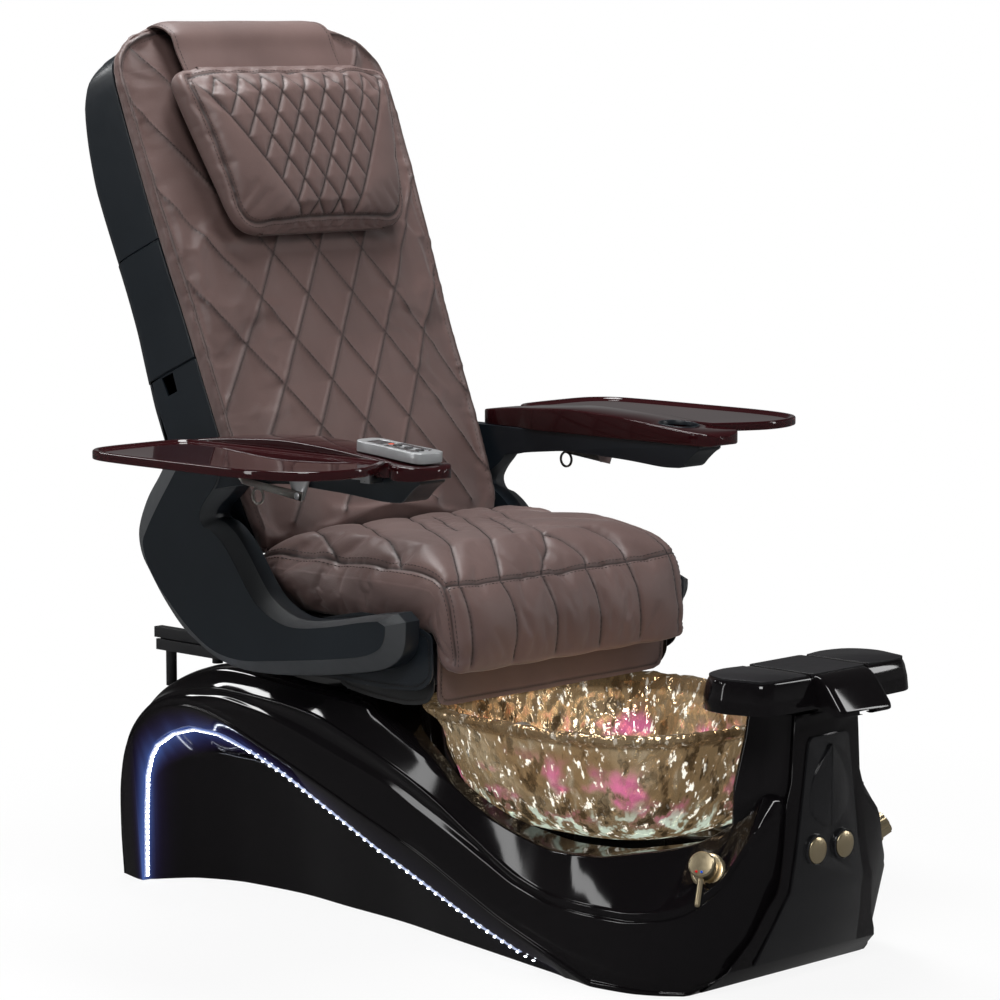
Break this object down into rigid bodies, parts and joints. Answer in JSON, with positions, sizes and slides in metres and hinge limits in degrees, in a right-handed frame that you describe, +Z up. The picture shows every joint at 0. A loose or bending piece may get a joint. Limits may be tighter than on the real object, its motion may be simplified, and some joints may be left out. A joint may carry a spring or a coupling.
{
  "type": "pedicure spa chair",
  "caption": "Pedicure spa chair: reclining massage seat on slide rails over a wave-ribbed shell with glass foot bowl, sliding footrest, taps and folding arm trays.",
  "frame": {"origin": "on the floor under the middle of the chair's bounding box", "axes": "+Z up, the sitter faces -Y, +X is the sitter's left"},
  "size_m": [1.212, 1.4494, 1.4389],
  "materials": {
    "shell": "polished gel coat with fine light flakes",
    "panel": "gloss",
    "light_strip": "frosted, lit",
    "gold": "satin champagne plating",
    "drain_metal": "polished",
    "bowl_glass": "hammered, smoked amber",
    "rubber": "matt",
    "white_plastic": "gloss",
    "black_steel": "satin powder coat",
    "steel": "brushed",
    "pump_paint": "satin",
    "brown_leather": "stitched",
    "grey_cloth": "matt",
    "dark_plastic": "fine texture",
    "lacquer": "polished burgundy lacquer",
    "handset_silver": "satin silver",
    "key_black": "matt"
  },
  "bodies": {
    "base": {"hull": "shell", "led_strip_l": "light_strip", "led_strip_r": "light_strip", "front_cover": "shell", "front_panel": "panel", "foot_bowl": "bowl_glass", "bowl_gasket": "rubber", "drain_ring": "drain_metal", "bowl_light": "light_strip", "jet_housing": "white_plastic", "mixer_ring": "gold", "knob_ring": "gold", "footrest_rail": "steel", "lower_rail_l": "black_steel", "lower_rail_r": "black_steel", "slide_tube": "black_steel", "base_frame": "black_steel", "pump": "pump_paint", "waste_pipe": "white_plastic"},
    "button_left": {"button_l": "gold"},
    "button_right": {"button_r": "gold"},
    "stopper": {"drain_stopper": "drain_metal"},
    "impeller": {"jet_impeller": "white_plastic"},
    "mixer_turning": {"mixer_ball": "gold"},
    "mixer_lever": {"mixer_cap": "gold"},
    "diverter": {"diverter_knob": "gold"},
    "footrest": {"footrest_base": "shell", "footrest_pad_l": "rubber", "footrest_pad_r": "rubber"},
    "seat": {"upper_rail_l": "black_steel", "upper_rail_r": "black_steel", "seat_frame": "black_steel", "slide_rod": "steel", "seat_pan": "black_steel", "seat_cushion": "brown_leather", "side_skirt_l": "brown_leather", "side_skirt_r": "brown_leather", "lower_flaps": "grey_cloth", "front_flap": "brown_leather", "arm_l": "dark_plastic", "arm_r": "dark_plastic", "arm_pad_l": "lacquer", "arm_pad_r": "lacquer", "tray_hinge_l": "steel", "tray_hinge_r": "steel"},
    "latch_left": {"latch_lever_l": "steel"},
    "latch_right": {"latch_lever_r": "steel"},
    "tray_left": {"tray_leaf_l": "lacquer"},
    "tray_right": {"tray_leaf_r": "lacquer"},
    "handset": {"remote_body": "handset_silver"},
    "key_a": {"remote_key_a": "key_black"},
    "key_b": {"remote_key_b": "key_black"},
    "key_c": {"remote_key_c": "key_black"},
    "back": {"back_frame": "black_steel", "back_shell": "dark_plastic", "back_cushion": "brown_leather", "head_pillow": "brown_leather", "pillow_strap": "brown_leather"},
    "massager": {"massage_carriage": "dark_plastic"}
  },
  "joints": [
    {"name": "press_button_left", "type": "slide", "parent": "base", "child": "button_left", "axis": [0, 1, 0], "range_m": [0, 0.003], "stiffness_N_per_m": 500, "springref_m": -0.001},
    {"name": "press_button_right", "type": "slide", "parent": "base", "child": "button_right", "axis": [0, 1, 0], "range_m": [0, 0.003], "stiffness_N_per_m": 500, "springref_m": -0.001},
    {"name": "lift_stopper", "type": "slide", "parent": "base", "child": "stopper", "axis": [0, 0, 1], "range_m": [0, 0.012]},
    {"name": "spin_impeller", "type": "hinge", "parent": "base", "child": "impeller", "pos_m": [0, 0.008, 0.266], "axis": [0, -0.9135, 0.4067], "continuous": true},
    {"name": "turn_mixer", "type": "hinge", "parent": "base", "child": "mixer_turning", "pos_m": [-0.188, -0.579, 0.1905], "axis": [-0.8265, -0.3107, 0.4695], "range_deg": [-45, 45]},
    {"name": "lift_lever", "type": "hinge", "parent": "mixer_turning", "child": "mixer_lever", "pos_m": [-0.20288, -0.58459, 0.19895], "axis": [-0.3518, 0.9361, 0], "range_deg": [0, 22]},
    {"name": "turn_diverter", "type": "hinge", "parent": "base", "child": "diverter", "pos_m": [0.188, -0.579, 0.1905], "axis": [0.8265, -0.3107, 0.4695], "range_deg": [0, 90]},
    {"name": "slide_footrest", "type": "slide", "parent": "base", "child": "footrest", "axis": [0, -1, 0], "range_m": [0, 0.05]},
    {"name": "slide_seat", "type": "slide", "parent": "base", "child": "seat", "axis": [0, 1, 0], "range_m": [-0.05, 0.1]},
    {"name": "recline_back", "type": "hinge", "parent": "seat", "child": "back", "pos_m": [0, 0.33, 0.478], "axis": [-1, 0, 0], "range_deg": [-5, 30]},
    {"name": "slide_massager", "type": "slide", "parent": "back", "child": "massager", "axis": [0, 0.3907, 0.9205], "range_m": [-0.07, 0.38]},
    {"name": "fold_tray_left", "type": "hinge", "parent": "seat", "child": "tray_left", "pos_m": [0.373, 0.12, 0.756], "axis": [0, 1, 0], "range_deg": [0, 90]},
    {"name": "fold_tray_right", "type": "hinge", "parent": "seat", "child": "tray_right", "pos_m": [-0.373, 0.12, 0.756], "axis": [0, -1, 0], "range_deg": [0, 90]},
    {"name": "pull_latch_left", "type": "hinge", "parent": "seat", "child": "latch_left", "pos_m": [0.3538, 0.123, 0.702], "axis": [-1, 0, 0], "range_deg": [0, 12], "stiffness_Nm_per_rad": 0.6, "springref_deg": -11.46},
    {"name": "pull_latch_right", "type": "hinge", "parent": "seat", "child": "latch_right", "pos_m": [-0.3538, 0.123, 0.702], "axis": [-1, 0, 0], "range_deg": [0, 12], "stiffness_Nm_per_rad": 0.6, "springref_deg": -11.46},
    {"name": "lift_handset", "type": "slide", "parent": "seat", "child": "handset", "axis": [0, 0, 1], "range_m": [0, 0.12]},
    {"name": "press_key_a", "type": "slide", "parent": "handset", "child": "key_a", "axis": [0, 0.0767, -0.9971], "range_m": [0, 0.0008], "stiffness_N_per_m": 800, "springref_m": -0.0003},
    {"name": "press_key_b", "type": "slide", "parent": "handset", "child": "key_b", "axis": [0, 0.0767, -0.9971], "range_m": [0, 0.0008], "stiffness_N_per_m": 800, "springref_m": -0.0003},
    {"name": "press_key_c", "type": "slide", "parent": "handset", "child": "key_c", "axis": [0, 0.0767, -0.9971], "range_m": [0, 0.0008], "stiffness_N_per_m": 800, "springref_m": -0.0003}
  ]
}
